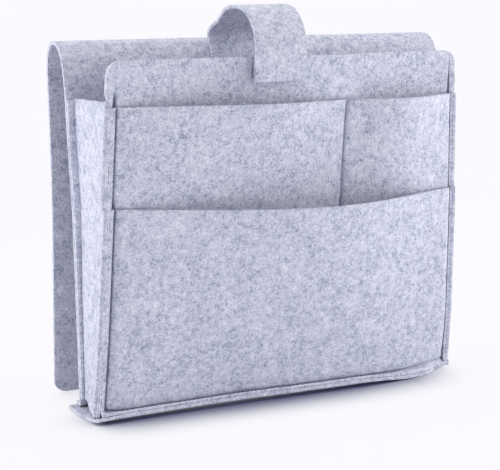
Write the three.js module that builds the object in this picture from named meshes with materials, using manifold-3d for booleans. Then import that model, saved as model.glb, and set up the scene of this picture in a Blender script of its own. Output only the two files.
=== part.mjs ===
// Bedside caddy of thick felt, standing on its base
// Millimetres, +X right, +Y back, +Z up; the origin is the middle of its footprint
import * as THREE from 'three';
import { mergeVertices } from 'three/addons/utils/BufferGeometryUtils.js';
import Module from 'manifold-3d';

const { lerp, smoothstep, clamp } = THREE.MathUtils;
const wasm = await Module();
wasm.setup();

// Felt and sewing
const FELT = 2.8;
const BASE_FELT = 3;
const CLEARANCE = 0.3;
const FLANGE_LEFT = 6;
const FLANGE_RIGHT = 5;
const THREAD_WIDTH = 0.9;
const THREAD_HEIGHT = 0.5;
const PATCH = 1.3;

// Widths
const HALF_WIDTH = 145;
const GUSSET_STANDOFF = 5.5;
const REAR_FLANGE = 5.5;
const BASE_OVERHANG = 2;
const DIVIDER_X = 42;

// Heights of the free edges
const LOWER_MOUTH_LEFT = 157.5;
const LOWER_MOUTH_RIGHT = 149;
const LOWER_MOUTH_SAG = 3;
const UPPER_MOUTH_LEFT = 227.5;
const UPPER_MOUTH_DIVIDER = 223.5;
const UPPER_MOUTH_RIGHT = 222.5;
const TOP_LEFT = 258.5;
const TOP_RIGHT = 255.5;
const TOP_CORNER = 10;
const GUSSET_TOP_FRONT = 232;
const GUSSET_TOP_REAR = 226.5;

// Front face: place at the base and how far it leans forward at the upper mouth
const FRONT_LEFT_Y = 2.5;
const FRONT_RIGHT_Y = 6.5;
const LEAN_LEFT = 37;
const LEAN_RIGHT = 2.3;
const CORNER_SWEEP = 3.5;
const CORNER_SWEEP_HEIGHT = 58;
const CORNER_FLARE = 1.8;
const CORNER_FLARE_HEIGHT = 100;
const SIDE_BOW = 1.5;

// Angles in degrees that the front flanges turn forward by
const TURN_LEFT = 60;
const TURN_RIGHT = 20;

// How far each layer stands open at its mouth
const LOWER_BULGE = 29;
const UPPER_LEFT_BULGE = 12;
const UPPER_RIGHT_BULGE = 14;
const MIDDLE_WAVE = 9;

// Feet, base and cable outlet
const FOOT = 6.5;
const REAR_FOOT = 9;
const BASE_LIP = 1;
const BASE_CORNER_X = 118;
const BASE_CORNER_Y = 25;
const OUTLET_INSET = 1.7;
const OUTLET_HEIGHT = 7;

// Back sheet: wall, fold and flap
const BACK_Y = 29.5;
const BACK_LEAN = 8.5;
const BACK_LEAN_START = 140;
const FOLD_START = 234;
const FOLD_FRONT_DEPTH = 24;
const FOLD_RISE = 33;
const FOLD_REAR_DEPTH = 16.5;
const FOLD_DROP = 20;
const CROWN_FLAT = 1;
const FOLD_TAIL = 1;
const FLAP_FOOT = 1;
const FLAP_CORNER = 9;

// Closure strap
const STRAP_WIDTH = 41;
const STRAP_RIGHT_X = 0;
const STRAP_PIVOT_ABOVE = 3.5;
const STRAP_RISE = 22;
const STRAP_BEND_ABOVE = 6;
const STRAP_OVERLAP = 17;
const STRAP_ROOT_UPRIGHT = 2.5;
const PATCH_HEIGHT = 12;
const PATCH_INSET = 2;

// Seams: distance from the edge that each runs beside
const SEAM_INSET = 3;
const DIVIDER_SEAM_FOOT = 45;
const STRAP_SEAM_INSET = 3;

// Thickness that the sewing leaves in the flanges, and where their seams run from crease to edge
const PRESS_SHARE = 0.75;
const SEAM_SHARE = 0.5;

// Shapes of the bulges, and of the strap's arch as shares of its reach and rise
const BULGE_SKEW_SHARE = 1.15;
const BULGE_POWER_SHARE = 1.2;
const POCKET_RISE_SHARE = 1.6;
const WAVE_RISE_SHARE = 2.5;
const FOOT_TAPER_SHARE = 0.8;
const ROOT_ARC_SHARES = [0.03, 0.33];
const STRAP_PIVOT_SHARE = 0.504;
const STRAP_ARCH_SHARES = [
  [0, 0], [0, 0.1], [0.04, 0.25], [0.12, 0.43], [0.215, 0.61], [0.29, 0.79], [0.38, 0.92],
  [0.49, 0.985], [0.6, 1], [0.72, 0.945], [0.82, 0.78], [0.89, 0.58], [0.935, 0.38], [0.97, 0.17],
];

// Counts of facets
const LEFT_STEPS = 9;
const RIGHT_STEPS = 6;
const LOW_ROWS = 6;
const UPPER_ROWS = 3;
const TOP_ROWS = 3;
const ARC_STEPS = 8;
const STRAP_STEPS = 22;
const STRAP_COLUMNS = 3;

// Places that follow from the sizes above
const LAYER = FELT + CLEARANCE;
const STAND = BASE_FELT + CLEARANCE;
const FOOT_TOP = STAND + FELT;
const GUSSET_X = HALF_WIDTH + GUSSET_STANDOFF;
const BACK_X = GUSSET_X + REAR_FLANGE;
const DIVIDER_SHARE = (HALF_WIDTH + DIVIDER_X) / (HALF_WIDTH + HALF_WIDTH);
const LOWER_LAYER = -LAYER;
const UPPER_LAYER = 0;
const MIDDLE_LAYER = LAYER;
const GUSSET_LAYER = LAYER + LAYER;
const BACK_TOP_Y = BACK_Y + BACK_LEAN;
const APEX_Y = BACK_TOP_Y + FOLD_FRONT_DEPTH;
const APEX_Z = FOLD_START + FOLD_RISE;
const FLAP_Y = APEX_Y + FOLD_REAR_DEPTH;
const FLAP_TOP = APEX_Z - FOLD_DROP;
const STRAP_LEFT_X = STRAP_RIGHT_X - STRAP_WIDTH;
const STRAP_SHARE = (HALF_WIDTH + STRAP_RIGHT_X - STRAP_WIDTH / 2) / (HALF_WIDTH + HALF_WIDTH);
const STRAP_PIVOT_Y = APEX_Y - STRAP_PIVOT_SHARE * FOLD_FRONT_DEPTH;
const STRAP_PIVOT_Z = APEX_Z + STRAP_PIVOT_ABOVE;
const CLOSURE_TOP = lerp(TOP_LEFT, TOP_RIGHT, STRAP_SHARE);
const STRAP_BEND_Z = CLOSURE_TOP + STRAP_BEND_ABOVE;
const STRAP_END_Z = CLOSURE_TOP - STRAP_OVERLAP;

// Materials
const FELT_COLOUR = 0xc6cad9;
const THREAD_COLOUR = 0xb9becf;
const PATCH_COLOUR = 0xd2d5e0;
const felt = () => new THREE.MeshStandardMaterial({ color: FELT_COLOUR, roughness: 0.95, metalness: 0 });
const thread = () => new THREE.MeshStandardMaterial({ color: THREAD_COLOUR, roughness: 0.7, metalness: 0 });
const tape = () => new THREE.MeshStandardMaterial({ color: PATCH_COLOUR, roughness: 0.85, metalness: 0 });

const model = new THREE.Group();

function addPiece(name, geometry, material) {
  const mesh = new THREE.Mesh(geometry, material);
  mesh.name = name;
  model.add(mesh);
}

// Closed solid between two matching grids of points: grid[row][column]
function sheet(outer, inner) {
  const rows = outer.length;
  const columns = outer[0].length;
  const points = [...outer.flat(), ...inner.flat()];
  const under = rows * columns;
  const index = [];
  const quad = (a, b, c, d) => index.push(a, b, c, a, c, d);
  const rim = (a, b) => quad(a, under + a, under + b, b);
  for (let r = 0; r + 1 < rows; r += 1) {
    const start = r * columns;
    for (let c = start; c + 1 < start + columns; c += 1) {
      quad(c, c + 1, c + columns + 1, c + columns);
      quad(under + c, under + c + columns, under + c + columns + 1, under + c + 1);
    }
    rim(start + columns, start);
    rim(start + columns - 1, start + columns + columns - 1);
  }
  const last = under - columns;
  for (let c = 0; c + 1 < columns; c += 1) {
    rim(c, c + 1);
    rim(last + c + 1, last + c);
  }
  return facingOut(points, index);
}

// Turns the faces round if they point into the solid
function facingOut(points, index) {
  let volume = 0;
  for (let i = 0; i < index.length; i += 3) {
    const [a, b, c] = [points[index[i]], points[index[i + 1]], points[index[i + 2]]];
    volume += a.dot(b.clone().cross(c));
  }
  const faces = volume < 0 ? [...index].reverse() : index;
  const geometry = new THREE.BufferGeometry().setFromPoints(points);
  geometry.setIndex(faces);
  geometry.computeVertexNormals();
  return geometry;
}

// Cuts one solid out of another
function cut(geometry, cutter) {
  const [body, tool] = [geometry, cutter].map((source) => {
    const bare = source.clone();
    bare.deleteAttribute('normal');
    bare.deleteAttribute('uv');
    const merged = mergeVertices(bare);
    return new wasm.Manifold(new wasm.Mesh({
      numProp: 3,
      vertProperties: new Float32Array(merged.attributes.position.array),
      triVerts: new Uint32Array(merged.index.array),
    }));
  });
  const result = body.subtract(tool).getMesh();
  const made = new THREE.BufferGeometry();
  made.setAttribute('position', new THREE.BufferAttribute(result.vertProperties, 3));
  made.setIndex(new THREE.BufferAttribute(result.triVerts, 1));
  made.computeVertexNormals();
  return made;
}

// Offsets an outline in the plane, square to its run, with mitred bends
function offsetPath(path, distance) {
  const normals = path.slice(1).map((point, i) => {
    const run = point.clone().sub(path[i]).normalize();
    return new THREE.Vector2(-run.y, run.x);
  });
  return path.map((point, i) => {
    const before = normals[Math.max(i - 1, 0)];
    const after = normals[Math.min(i, normals.length - 1)];
    const mitre = before.clone().add(after).divideScalar(1 + before.dot(after));
    return point.clone().addScaledVector(mitre, distance);
  });
}

// Sheet that runs straight across between two sides; its path lies in the Y and Z plane
function straightSheet(path, thickness, left, right) {
  const across = (row) => [left, right].map((x) => new THREE.Vector3(x, row.x, row.y));
  return sheet(path.map(across), offsetPath(path, thickness).map(across));
}

// Heights of the free edges, by the share of the width from the left crease
const lowerMouth = (share) => {
  const across = share + share - 1;
  return lerp(LOWER_MOUTH_LEFT, LOWER_MOUTH_RIGHT, share) - LOWER_MOUTH_SAG * (1 - across * across);
};
const upperMouth = (share) => (share < DIVIDER_SHARE
  ? lerp(UPPER_MOUTH_LEFT, UPPER_MOUTH_DIVIDER, share / DIVIDER_SHARE)
  : lerp(UPPER_MOUTH_DIVIDER, UPPER_MOUTH_RIGHT, (share - DIVIDER_SHARE) / (1 - DIVIDER_SHARE)));
const middleTop = (share) => lerp(TOP_LEFT, TOP_RIGHT, share);
const shareOf = (x) => (x + HALF_WIDTH) / (HALF_WIDTH + HALF_WIDTH);

// Height of each facet row: the same rows in every layer, so that the layers stay parallel
function rowHeights(share, edge) {
  const rows = [];
  for (let i = 0; i < LOW_ROWS; i += 1) rows.push(lerp(STAND, lowerMouth(share), i / LOW_ROWS));
  rows.push(lowerMouth(share));
  if (edge === 'lower') return rows;
  for (let i = 1; i <= UPPER_ROWS; i += 1) {
    rows.push(lerp(lowerMouth(share), upperMouth(share), i / UPPER_ROWS));
  }
  return rows;
}

// Face of the upper pocket layer before it opens, where the seams hold it
function seatY(share, z) {
  const left = FRONT_LEFT_Y - (LEAN_LEFT * z) / UPPER_MOUTH_LEFT;
  const right = FRONT_RIGHT_Y - (LEAN_RIGHT * z) / UPPER_MOUTH_RIGHT;
  const sweep = CORNER_SWEEP * share ** 8 * clamp(1 - z / CORNER_SWEEP_HEIGHT, 0, 1);
  return lerp(left, right, share) + sweep;
}

const lobe = (t) => Math.max(Math.sin(Math.PI * clamp(t, 0, 1)), 0) ** BULGE_POWER_SHARE;

function middleBulge(share, z) {
  const wave = Math.sin(Math.PI * share ** BULGE_SKEW_SHARE) ** 2;
  return MIDDLE_WAVE * wave * clamp(z / middleTop(share), 0, 1) ** WAVE_RISE_SHARE;
}

function upperBulge(share, z) {
  const rise = clamp((z - FOOT_TOP) / (upperMouth(share) - FOOT_TOP), 0, 1) ** POCKET_RISE_SHARE;
  const pocket = share < DIVIDER_SHARE
    ? UPPER_LEFT_BULGE * lobe(share / DIVIDER_SHARE)
    : UPPER_RIGHT_BULGE * lobe((share - DIVIDER_SHARE) / (1 - DIVIDER_SHARE));
  return pocket * rise + middleBulge(share, z);
}

function lowerBulge(share, z) {
  const rise = clamp((z - FOOT_TOP) / (lowerMouth(share) - FOOT_TOP), 0, 1);
  return LOWER_BULGE * lobe(share ** BULGE_SKEW_SHARE) * rise + middleBulge(share, z);
}

// Half width at the crease: the left corner flares at its foot, and the right side bows
function halfWidth(share, z) {
  const flare = CORNER_FLARE * clamp(1 - z / CORNER_FLARE_HEIGHT, 0, 1) ** 2;
  const bow = SIDE_BOW * Math.sin(Math.PI * clamp(z / UPPER_MOUTH_RIGHT, 0, 1));
  return HALF_WIDTH + (share < 0.5 ? flare : bow);
}

const flangeAt = (share) => (share < 0.5 ? FLANGE_LEFT : FLANGE_RIGHT);
const turnAt = (share) => THREE.MathUtils.degToRad(share < 0.5 ? TURN_LEFT : TURN_RIGHT);

// Crease of a layer, without its bulge: a layer behind another has its crease further out
function creaseX(share, z, depth) {
  return halfWidth(share, z) + depth * Math.tan(turnAt(share) / 2);
}

// Columns across the front: flange tip, crease, face, crease, flange tip
function frontColumns() {
  const shares = [];
  for (let i = 0; i < LEFT_STEPS; i += 1) shares.push((DIVIDER_SHARE * i) / LEFT_STEPS);
  for (let i = 0; i <= RIGHT_STEPS; i += 1) shares.push(lerp(DIVIDER_SHARE, 1, i / RIGHT_STEPS));
  const face = shares.map((share) => ({ share, tip: 0 }));
  return [{ share: 0, tip: -1 }, ...face, { share: 1, tip: 1 }];
}

// Point on the front at a depth behind the upper pocket's face
function frontPoint(column, z, depth, bulge) {
  const { share, tip } = column;
  if (tip === 0) {
    const x = lerp(-creaseX(0, z, depth), creaseX(1, z, depth), share);
    return new THREE.Vector3(x, seatY(share, z) + depth - bulge(share, z), z);
  }
  const turn = turnAt(share);
  const pressed = PRESS_SHARE * depth;
  const outward = flangeAt(share) * Math.cos(turn) + pressed * Math.sin(turn);
  const back = pressed * Math.cos(turn) - flangeAt(share) * Math.sin(turn);
  return new THREE.Vector3(tip * (halfWidth(share, z) + outward), seatY(share, z) + back, z);
}

// One front layer, as a sheet from its base line to its free edge
function frontSheet(depth, bulge, heights) {
  const columns = frontColumns();
  const lists = columns.map(heights);
  const grid = (d) => lists[0].map((_, r) => columns.map((c, i) => frontPoint(c, lists[i][r], d, bulge)));
  return sheet(grid(depth), grid(depth + FELT));
}

function middlePanel() {
  const heights = (column) => {
    const fromEdge = column.tip === 0
      ? flangeAt(column.share) + Math.min(column.share, 1 - column.share) * (HALF_WIDTH + HALF_WIDTH)
      : 0;
    const inCorner = clamp(TOP_CORNER - fromEdge, 0, TOP_CORNER);
    const drop = TOP_CORNER - Math.sqrt(TOP_CORNER * TOP_CORNER - inCorner * inCorner);
    const rows = rowHeights(column.share, 'upper');
    const top = middleTop(column.share) - drop;
    for (let i = 1; i <= TOP_ROWS; i += 1) rows.push(lerp(upperMouth(column.share), top, i / TOP_ROWS));
    return rows;
  };
  addPiece('middle_panel', frontSheet(MIDDLE_LAYER, middleBulge, heights), felt());
}

function upperPocket() {
  const heights = (column) => rowHeights(column.share, 'upper');
  addPiece('upper_pocket', frontSheet(UPPER_LAYER, upperBulge, heights), felt());
}

// Length of the lower pocket's foot, shorter at the rounded right corner
function footLength(x) {
  return FOOT * (1 - FOOT_TAPER_SHARE * smoothstep(x, BASE_CORNER_X, HALF_WIDTH));
}

// Lower pocket, with its foot turned forward over the base
function lowerPocket() {
  const columns = frontColumns();
  const rows = (column) => rowHeights(column.share, 'lower').slice(1);
  const face = (depth, footZ) => {
    const crease = columns.map((c) => frontPoint(c, footZ, depth, lowerBulge));
    const tip = columns.map((c) => {
      const at = frontPoint({ share: c.share, tip: 0 }, FOOT_TOP, LOWER_LAYER, lowerBulge);
      const x = frontPoint(c, FOOT_TOP, LOWER_LAYER, lowerBulge).x;
      return new THREE.Vector3(x, at.y - footLength(at.x), footZ);
    });
    const upright = rows(columns[0]).map((_, r) => columns.map(
      (c) => frontPoint(c, rows(c)[r], depth, lowerBulge),
    ));
    return [tip, crease, ...upright];
  };
  addPiece('lower_pocket', sheet(face(LOWER_LAYER, FOOT_TOP), face(LOWER_LAYER + FELT, STAND)), felt());
}

// Front face of the back panel
function backY(z) {
  return BACK_Y + BACK_LEAN * smoothstep(z, BACK_LEAN_START, FOLD_START);
}

// Rows that the back panel and the gussets' rear flanges share
function backRows() {
  const count = LOW_ROWS + UPPER_ROWS + 1;
  return Array.from({ length: count + 1 }, (_, i) => lerp(STAND, GUSSET_TOP_REAR, i / count));
}

// Gusset's front flange in plan, from its tip to its crease at the side wall
function gussetFlange(share, z, depth, wallX) {
  const side = share < 0.5 ? -1 : 1;
  const turn = turnAt(share);
  const tip = frontPoint({ share, tip: side }, z, depth, () => 0);
  const bend = new THREE.Vector3(side * creaseX(share, z, depth), seatY(share, z) + depth, z);
  const inside = (creaseX(share, z, depth) - wallX) / Math.cos(turn);
  const crease = new THREE.Vector3(side * wallX, bend.y + inside * Math.sin(turn), z);
  return [tip, inside > 0 ? bend : tip.clone().lerp(crease, 0.5), crease];
}

// Space of the cable outlet, between a gusset's front crease and its rear flange
function cableOutlet(share, side) {
  const crease = gussetFlange(share, STAND, GUSSET_LAYER + FELT, GUSSET_X).at(-1);
  const from = crease.y + OUTLET_INSET;
  const to = BACK_Y - LAYER;
  const height = OUTLET_HEIGHT + STAND;
  const space = new THREE.BoxGeometry(REAR_FLANGE + GUSSET_STANDOFF, to - from, height);
  return space.translate(side * GUSSET_X, (from + to) / 2, height / 2);
}

// Gusset: front flange, side wall and rear flange, with the cable outlet cut into its foot
function gusset(name, side) {
  const share = side < 0 ? 0 : 1;
  const front = [...rowHeights(share, 'upper'), GUSSET_TOP_FRONT];
  const rear = backRows();
  const face = (depth, inset) => front.map((z, r) => {
    const wallX = GUSSET_X - inset;
    const flangeY = backY(rear[r]) - LAYER + inset;
    return [
      ...gussetFlange(share, z, depth, wallX),
      new THREE.Vector3(side * wallX, flangeY, rear[r]),
      new THREE.Vector3(side * BACK_X, flangeY, rear[r]),
    ];
  });
  const wall = sheet(face(GUSSET_LAYER + FELT, 0), face(GUSSET_LAYER, FELT));
  addPiece(name, cut(wall, cableOutlet(share, side)), felt());
}

// Base with a square left corner and a rounded right one
function bottomPanel() {
  const left = -BACK_X - BASE_OVERHANG;
  const frontY = (x) => {
    const crease = frontPoint({ share: shareOf(x), tip: 0 }, FOOT_TOP, LOWER_LAYER, () => 0);
    return crease.y - FOOT - BASE_LIP;
  };
  const rearY = BACK_Y + REAR_FOOT + BASE_LIP;
  const outline = new THREE.Shape();
  outline.moveTo(left, rearY);
  outline.lineTo(left, frontY(-HALF_WIDTH));
  outline.lineTo(BASE_CORNER_X, frontY(BASE_CORNER_X));
  outline.quadraticCurveTo(HALF_WIDTH, frontY(BASE_CORNER_X), -left, BASE_CORNER_Y);
  outline.lineTo(-left, rearY);
  const base = new THREE.ExtrudeGeometry(outline, {
    depth: BASE_FELT, bevelEnabled: false, curveSegments: ARC_STEPS,
  });
  addPiece('bottom_panel', base, felt());
}

// Quarter of the fold's outer face, forwards or backwards from the flat at its apex
function foldArc(side, depth, rise, from, to) {
  return Array.from({ length: ARC_STEPS + 1 }, (_, i) => {
    const angle = (Math.PI / 2) * lerp(from, to, i / ARC_STEPS);
    const reach = CROWN_FLAT + (depth - CROWN_FLAT) * Math.cos(angle);
    return new THREE.Vector2(APEX_Y + side * reach, APEX_Z - rise * (1 - Math.sin(angle)));
  });
}

// Back panel with its foot turned back over the base, up to the top of the fold
function backPanel() {
  const path = [new THREE.Vector2(BACK_Y + REAR_FOOT, STAND), new THREE.Vector2(BACK_Y, STAND)];
  backRows().slice(1).forEach((z) => path.push(new THREE.Vector2(backY(z), z)));
  path.push(...foldArc(-1, FOLD_FRONT_DEPTH, FOLD_RISE, 0, 1), new THREE.Vector2(APEX_Y, APEX_Z));
  addPiece('back_panel', straightSheet(path, -FELT, -BACK_X, BACK_X), felt());
}

// Rear half of the fold, which bends when the flap is lifted
function topFold() {
  const path = [
    new THREE.Vector2(APEX_Y + CLEARANCE, APEX_Z),
    ...foldArc(1, FOLD_REAR_DEPTH, FOLD_DROP - FOLD_TAIL, 1, 0),
    new THREE.Vector2(FLAP_Y, FLAP_TOP),
  ];
  addPiece('top_fold', straightSheet(path, -FELT, -BACK_X, BACK_X), felt());
}

// Flap that goes under the mattress, with rounded lower corners
function mountingFlap() {
  const outline = new THREE.Shape();
  const top = FLAP_TOP - CLEARANCE;
  const low = FLAP_FOOT;
  outline.moveTo(-BACK_X, top);
  outline.lineTo(-BACK_X, low + FLAP_CORNER);
  outline.quadraticCurveTo(-BACK_X, low, -BACK_X + FLAP_CORNER, low);
  outline.lineTo(BACK_X - FLAP_CORNER, low);
  outline.quadraticCurveTo(BACK_X, low, BACK_X, low + FLAP_CORNER);
  outline.lineTo(BACK_X, top);
  const flap = new THREE.ExtrudeGeometry(outline, {
    depth: FELT, bevelEnabled: false, curveSegments: ARC_STEPS,
  });
  flap.rotateX(Math.PI / 2);
  flap.translate(0, FLAP_Y, 0);
  addPiece('mounting_flap', flap, felt());
}

// Middle panel's front face, where the strap closes
const closureY = (x, z) => {
  const share = shareOf(x);
  return seatY(share, z) + MIDDLE_LAYER - middleBulge(share, z);
};

// Outer face of the strap at one side of it, from its pivot to its end
function strapPath(x) {
  const stack = CLEARANCE + PATCH + CLEARANCE + PATCH + CLEARANCE + FELT;
  const front = (z) => new THREE.Vector2(closureY(x, z) - stack, z);
  const reach = STRAP_PIVOT_Y - front(STRAP_BEND_Z).x;
  const start = STRAP_PIVOT_Z + CLEARANCE;
  const arch = STRAP_ARCH_SHARES.map(
    ([along, up]) => new THREE.Vector2(STRAP_PIVOT_Y - along * reach, start + up * STRAP_RISE),
  );
  const curve = new THREE.SplineCurve([...arch, front(STRAP_BEND_Z), front(CLOSURE_TOP)]);
  return [...curve.getPoints(STRAP_STEPS), front(STRAP_END_Z)];
}

// Across a strap, its left side to its right
function strapColumns(inset) {
  return Array.from({ length: STRAP_COLUMNS + 1 }, (_, i) => (
    lerp(STRAP_LEFT_X + inset, STRAP_RIGHT_X - inset, i / STRAP_COLUMNS)
  ));
}

function closureStrap() {
  const columns = strapColumns(0);
  const outer = columns.map(strapPath);
  const inner = outer.map((path) => offsetPath(path, FELT));
  const grid = (paths) => paths[0].map((_, r) => paths.map(
    (path, c) => new THREE.Vector3(columns[c], path[r].x, path[r].y),
  ));
  addPiece('closure_strap', sheet(grid(outer), grid(inner)), felt());
}

// Patch of hook or loop tape on the middle panel's front face, at a gap in front of it
function patch(name, gap) {
  const columns = strapColumns(PATCH_INSET);
  const low = STRAP_END_Z + PATCH_INSET;
  const face = (distance) => [low, low + PATCH_HEIGHT / 2, low + PATCH_HEIGHT].map(
    (z) => columns.map((x) => new THREE.Vector3(x, closureY(x, z) - distance, z)),
  );
  addPiece(name, sheet(face(gap + PATCH), face(gap)), tape());
}

// Front face of the strap's root: up the fold, then free of it to the pivot
function rootPath() {
  const [from, to] = ROOT_ARC_SHARES;
  const seat = offsetPath(foldArc(-1, FOLD_FRONT_DEPTH, FOLD_RISE, from, to), LAYER);
  const tipY = STRAP_PIVOT_Y - FELT;
  return [
    ...seat,
    new THREE.Vector2(tipY, STRAP_PIVOT_Z - STRAP_ROOT_UPRIGHT),
    new THREE.Vector2(tipY, STRAP_PIVOT_Z),
  ];
}

function strapRoot() {
  addPiece('strap_root', straightSheet(rootPath(), -FELT, STRAP_LEFT_X, STRAP_RIGHT_X), felt());
}

// Thread laid along a path on a surface, raised towards the given direction
function threadAlong(name, path, side, raised) {
  const row = (lift) => path.map((point) => [-1, 1].map((edge) => point.clone()
    .addScaledVector(side, (edge * THREAD_WIDTH) / 2)
    .addScaledVector(raised, lift)));
  addPiece(name, sheet(row(CLEARANCE + THREAD_HEIGHT), row(CLEARANCE)), thread());
}

// Corner seam on the front flange: over the lower pocket, then over the upper one
function frontSeam(name, side) {
  const share = side < 0 ? 0 : 1;
  const turn = turnAt(share);
  const raised = new THREE.Vector3(-side * Math.sin(turn), -Math.cos(turn), 0);
  const along = new THREE.Vector3(-side * Math.cos(turn), Math.sin(turn), 0);
  const at = (z, depth) => {
    const crease = frontPoint({ share, tip: 0 }, z, depth, () => 0);
    return crease.lerp(frontPoint({ share, tip: side }, z, depth, () => 0), SEAM_SHARE);
  };
  const rows = rowHeights(share, 'upper');
  const low = rows.slice(1, LOW_ROWS).map((z) => at(z, LOWER_LAYER));
  const step = [
    at(lowerMouth(share) + CLEARANCE, LOWER_LAYER),
    at(lowerMouth(share) + CLEARANCE + THREAD_HEIGHT, UPPER_LAYER),
  ];
  const high = rows.slice(LOW_ROWS + 1).map((z) => at(z, UPPER_LAYER));
  threadAlong(name, [...low, ...step, ...high], along, raised);
}

// Seam through the gusset's rear flange
function rearSeam(name, side) {
  const x = side * (BACK_X - SEAM_INSET);
  const path = backRows().map((z) => new THREE.Vector3(x, backY(z) - LAYER, z));
  const low = path.slice(1);
  threadAlong(name, low, new THREE.Vector3(1, 0, 0), new THREE.Vector3(0, -1, 0));
}

// Seam through the lower pocket's foot and the base
function bottomFrontSeam() {
  const path = frontColumns().filter((c) => c.tip === 0).slice(0, -1).map((column) => {
    const crease = frontPoint(column, FOOT_TOP, LOWER_LAYER, () => 0);
    return crease.add(new THREE.Vector3(0, -footLength(crease.x) / 2, 0));
  });
  threadAlong('bottom_front_seam', path, new THREE.Vector3(0, 1, 0), new THREE.Vector3(0, 0, 1));
}

// Seam through the back panel's foot and the base
function bottomRearSeam() {
  const y = BACK_Y + REAR_FOOT - SEAM_INSET;
  const path = [-GUSSET_X, GUSSET_X].map((x) => new THREE.Vector3(x, y, FOOT_TOP));
  threadAlong('bottom_rear_seam', path, new THREE.Vector3(0, 1, 0), new THREE.Vector3(0, 0, 1));
}

// Seam that parts the upper pocket in two
function dividerSeam() {
  const column = { share: DIVIDER_SHARE, tip: 0 };
  const rows = rowHeights(DIVIDER_SHARE, 'upper').filter((z) => z > DIVIDER_SEAM_FOOT);
  const path = rows.map((z) => frontPoint(column, z, UPPER_LAYER, upperBulge));
  threadAlong('divider_seam', path, new THREE.Vector3(1, 0, 0), new THREE.Vector3(0, -1, 0));
}

// Seam across the strap's root
function strapSeam(name, share) {
  const seat = rootPath();
  const at = seat[Math.round(share * ARC_STEPS)];
  const next = seat[Math.round(share * ARC_STEPS) + 1];
  const up = new THREE.Vector3(0, next.x - at.x, next.y - at.y).normalize();
  const raised = new THREE.Vector3(0, -up.z, up.y);
  const ends = [STRAP_LEFT_X + STRAP_SEAM_INSET, STRAP_RIGHT_X - STRAP_SEAM_INSET];
  const middle = at.clone().add(next).divideScalar(2);
  const path = ends.map((x) => new THREE.Vector3(x, middle.x, middle.y));
  threadAlong(name, path, up, raised);
}

bottomPanel();
backPanel();
topFold();
mountingFlap();
gusset('left_gusset', -1);
gusset('right_gusset', 1);
middlePanel();
upperPocket();
lowerPocket();
strapRoot();
closureStrap();
patch('loop_patch', CLEARANCE);
patch('hook_patch', CLEARANCE + PATCH + CLEARANCE);
frontSeam('front_left_seam', -1);
frontSeam('front_right_seam', 1);
rearSeam('rear_left_seam', -1);
rearSeam('rear_right_seam', 1);
bottomFrontSeam();
bottomRearSeam();
dividerSeam();
strapSeam('strap_lower_seam', 0.125);
strapSeam('strap_upper_seam', 0.75);

// Stands the caddy on the middle of its own footprint
const bounds = new THREE.Box3().setFromObject(model);
const centre = bounds.getCenter(new THREE.Vector3());
model.position.set(-centre.x, -centre.y, -bounds.min.z);

export default model;
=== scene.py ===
import math

import bpy
import numpy as np
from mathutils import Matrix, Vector


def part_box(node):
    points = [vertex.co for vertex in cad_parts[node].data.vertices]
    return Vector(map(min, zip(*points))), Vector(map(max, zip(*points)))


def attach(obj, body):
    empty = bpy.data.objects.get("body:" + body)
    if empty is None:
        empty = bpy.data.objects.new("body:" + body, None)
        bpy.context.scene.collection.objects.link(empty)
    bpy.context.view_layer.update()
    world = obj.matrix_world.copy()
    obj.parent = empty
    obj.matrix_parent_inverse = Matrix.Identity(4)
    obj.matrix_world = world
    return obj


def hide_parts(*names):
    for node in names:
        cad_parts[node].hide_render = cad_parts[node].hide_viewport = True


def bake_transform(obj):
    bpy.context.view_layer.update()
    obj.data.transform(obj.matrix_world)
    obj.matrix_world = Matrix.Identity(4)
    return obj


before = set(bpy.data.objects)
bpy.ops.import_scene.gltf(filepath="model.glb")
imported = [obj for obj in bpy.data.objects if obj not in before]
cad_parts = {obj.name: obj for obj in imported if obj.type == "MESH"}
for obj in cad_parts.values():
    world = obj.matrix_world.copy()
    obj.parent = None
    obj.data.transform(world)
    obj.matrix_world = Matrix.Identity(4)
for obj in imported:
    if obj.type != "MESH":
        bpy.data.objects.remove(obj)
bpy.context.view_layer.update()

MM = 0.001

# Felt and sewing, as in the CAD
FELT = 2.8
BASE_FELT = 3.0
CLEARANCE = 0.3
PATCH = 1.3
LAYER = FELT + CLEARANCE
STAND = BASE_FELT + CLEARANCE
FOOT_TOP = STAND + FELT
PRESS_SHARE = 0.75

# Widths, as in the CAD
HALF_WIDTH = 145.0
GUSSET_X = 150.5
BACK_X = 156.0
BASE_OVERHANG = 2.0
DIVIDER_X = 42.0
DIVIDER_SHARE = (HALF_WIDTH + DIVIDER_X) / (2 * HALF_WIDTH)
CORNER_FLARE = 1.8
CORNER_FLARE_HEIGHT = 100.0
SIDE_BOW = 1.5

# Front flanges, left and right: their width as in the CAD, and the angle that they turn forward by
# The CAD turns the right one by 20 degrees
FLANGE = (6.0, 5.0)
TURN = (math.radians(60), math.radians(4))

# Heights of the free edges, as in the CAD
LOWER_MOUTH = (157.5, 149.0)
LOWER_MOUTH_SAG = 3.0
UPPER_MOUTH = (227.5, 223.5, 222.5)
TOP = (258.5, 255.5)
TOP_CORNER = 10.0
GUSSET_TOP_FRONT = 232.0
GUSSET_TOP_REAR = 226.5

# Place and lean of the front face, left and right, as in the CAD
FRONT_Y = (2.5, 6.5)
FRONT_LEAN = (37.0, 2.3)
CORNER_SWEEP = 3.5
CORNER_SWEEP_HEIGHT = 58.0
CORNER_SWEEP_POWER = 8

# How far each layer stands open at its mouth, and the powers that shape it, as in the CAD
LOWER_BULGE = 29.0
UPPER_BULGE = (12.0, 14.0)
MIDDLE_WAVE = 9.0
BULGE_SKEW = 1.15
BULGE_POWER = 1.2
POCKET_RISE = 1.6
WAVE_RISE = 2.5

# Rear foot, base and cable outlets, as in the CAD
REAR_FOOT = 9.0
BASE_LIP = 1.0
BASE_CORNER_X = 118.0
OUTLET_INSET = 1.7
OUTLET_HEIGHT = 7.0

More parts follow.
